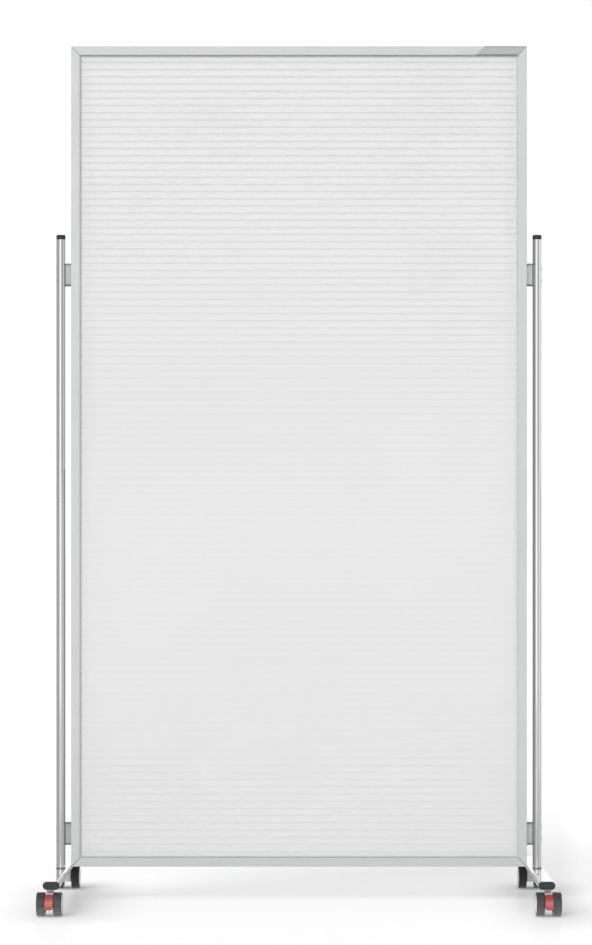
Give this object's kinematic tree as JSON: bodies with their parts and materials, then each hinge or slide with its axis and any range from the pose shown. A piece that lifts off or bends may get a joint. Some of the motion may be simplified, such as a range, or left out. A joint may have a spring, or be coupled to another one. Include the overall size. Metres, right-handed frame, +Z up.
{
  "type": "rolling partition",
  "caption": "Free-standing rolling screen: framed translucent multiwall panel between two round posts on flat-oval feet, with twin-wheel swivel castors and brakes at the front.",
  "frame": {"origin": "on the floor, centred below the panel", "axes": "+X to the right along the panel as seen from the front, +Y to the rear, +Z up; the front faces -Y"},
  "size_m": [1.1086, 0.5385, 1.878],
  "materials": {
    "frame_aluminium": "satin silver anodised extrusion",
    "opal_sheet": "translucent opal-grey twin-wall sheet, soft gloss",
    "chrome": "polished chrome plating",
    "bracket_grey": "silver-grey satin coating",
    "cap_black": "black moulded plastic, soft gloss",
    "anthracite_plastic": "anthracite moulded plastic, fine grain",
    "gasket_rubber": "mid-grey extruded sealing strip",
    "plug_grey": "grey moulded plug",
    "zinc_steel": "zinc plated",
    "castor_plastic": "light-grey moulded nylon",
    "tyre_rubber": "dark soft tread",
    "brake_red": "red moulded plastic"
  },
  "bodies": {
    "partition": {"multiwall_sheet": "opal_sheet", "frame_bottom": "frame_aluminium", "frame_top": "frame_aluminium", "frame_left": "frame_aluminium", "frame_right": "frame_aluminium", "corner_keys": "zinc_steel", "bracket_screws": "zinc_steel", "nut_plates": "zinc_steel", "post_inserts": "zinc_steel", "post_bolts": "zinc_steel", "crush_sleeves": "zinc_steel", "stem_nuts": "zinc_steel", "castor_stems": "zinc_steel", "front_gasket": "gasket_rubber", "rear_gasket": "gasket_rubber", "post_hole_plugs": "plug_grey", "post_left": "chrome", "foot_left": "chrome", "post_cap_left": "cap_black", "bracket_upper_left": "bracket_grey", "bracket_lower_left": "bracket_grey", "post_right": "chrome", "foot_right": "chrome", "post_cap_right": "cap_black", "bracket_upper_right": "bracket_grey", "bracket_lower_right": "bracket_grey", "foot_cap_front_left": "anthracite_plastic", "foot_cap_front_right": "anthracite_plastic", "foot_cap_rear_left": "anthracite_plastic", "foot_cap_rear_right": "anthracite_plastic"},
    "front_left_castor": {"front_left_housing": "castor_plastic", "front_left_axle": "zinc_steel"},
    "front_left_inner_wheel": {"front_left_inner_hub": "castor_plastic", "front_left_inner_tyre": "tyre_rubber"},
    "front_left_outer_wheel": {"front_left_outer_hub": "castor_plastic", "front_left_outer_tyre": "tyre_rubber"},
    "front_left_brake": {"front_left_brake_pedal": "brake_red", "front_left_brake_bar": "brake_red"},
    "front_right_castor": {"front_right_housing": "castor_plastic", "front_right_axle": "zinc_steel"},
    "front_right_inner_wheel": {"front_right_inner_hub": "castor_plastic", "front_right_inner_tyre": "tyre_rubber"},
    "front_right_outer_wheel": {"front_right_outer_hub": "castor_plastic", "front_right_outer_tyre": "tyre_rubber"},
    "front_right_brake": {"front_right_brake_pedal": "brake_red", "front_right_brake_bar": "brake_red"},
    "rear_left_castor": {"rear_left_housing": "castor_plastic", "rear_left_axle": "zinc_steel"},
    "rear_left_inner_wheel": {"rear_left_inner_hub": "castor_plastic", "rear_left_inner_tyre": "tyre_rubber"},
    "rear_left_outer_wheel": {"rear_left_outer_hub": "castor_plastic", "rear_left_outer_tyre": "tyre_rubber"},
    "rear_right_castor": {"rear_right_housing": "castor_plastic", "rear_right_axle": "zinc_steel"},
    "rear_right_inner_wheel": {"rear_right_inner_hub": "castor_plastic", "rear_right_inner_tyre": "tyre_rubber"},
    "rear_right_outer_wheel": {"rear_right_outer_hub": "castor_plastic", "rear_right_outer_tyre": "tyre_rubber"}
  },
  "joints": [
    {"name": "front_left_swivel", "type": "hinge", "parent": "partition", "child": "front_left_castor", "pos_m": [-0.5275, -0.221, 0.045], "axis": [0, 0, 1], "continuous": true},
    {"name": "front_left_inner_wheel_roll", "type": "hinge", "parent": "front_left_castor", "child": "front_left_inner_wheel", "pos_m": [-0.5275, -0.241, 0.025], "axis": [1, 0, 0], "continuous": true},
    {"name": "front_left_outer_wheel_roll", "type": "hinge", "parent": "front_left_castor", "child": "front_left_outer_wheel", "pos_m": [-0.5275, -0.241, 0.025], "axis": [1, 0, 0], "continuous": true},
    {"name": "front_left_brake_press", "type": "hinge", "parent": "front_left_castor", "child": "front_left_brake", "pos_m": [-0.5275, -0.24401, 0.03918], "axis": [1, 0, 0], "range_deg": [0, 8]},
    {"name": "front_right_swivel", "type": "hinge", "parent": "partition", "child": "front_right_castor", "pos_m": [0.5275, -0.221, 0.045], "axis": [0, 0, 1], "continuous": true},
    {"name": "front_right_inner_wheel_roll", "type": "hinge", "parent": "front_right_castor", "child": "front_right_inner_wheel", "pos_m": [0.5275, -0.241, 0.025], "axis": [1, 0, 0], "continuous": true},
    {"name": "front_right_outer_wheel_roll", "type": "hinge", "parent": "front_right_castor", "child": "front_right_outer_wheel", "pos_m": [0.5275, -0.241, 0.025], "axis": [1, 0, 0], "continuous": true},
    {"name": "front_right_brake_press", "type": "hinge", "parent": "front_right_castor", "child": "front_right_brake", "pos_m": [0.5275, -0.24401, 0.03918], "axis": [1, 0, 0], "range_deg": [0, 8]},
    {"name": "rear_left_swivel", "type": "hinge", "parent": "partition", "child": "rear_left_castor", "pos_m": [-0.5275, 0.221, 0.045], "axis": [0, 0, 1], "continuous": true},
    {"name": "rear_left_inner_wheel_roll", "type": "hinge", "parent": "rear_left_castor", "child": "rear_left_inner_wheel", "pos_m": [-0.5275, 0.241, 0.025], "axis": [1, 0, 0], "continuous": true},
    {"name": "rear_left_outer_wheel_roll", "type": "hinge", "parent": "rear_left_castor", "child": "rear_left_outer_wheel", "pos_m": [-0.5275, 0.241, 0.025], "axis": [1, 0, 0], "continuous": true},
    {"name": "rear_right_swivel", "type": "hinge", "parent": "partition", "child": "rear_right_castor", "pos_m": [0.5275, 0.221, 0.045], "axis": [0, 0, 1], "continuous": true},
    {"name": "rear_right_inner_wheel_roll", "type": "hinge", "parent": "rear_right_castor", "child": "rear_right_inner_wheel", "pos_m": [0.5275, 0.241, 0.025], "axis": [1, 0, 0], "continuous": true},
    {"name": "rear_right_outer_wheel_roll", "type": "hinge", "parent": "rear_right_castor", "child": "rear_right_outer_wheel", "pos_m": [0.5275, 0.241, 0.025], "axis": [1, 0, 0], "continuous": true}
  ]
}
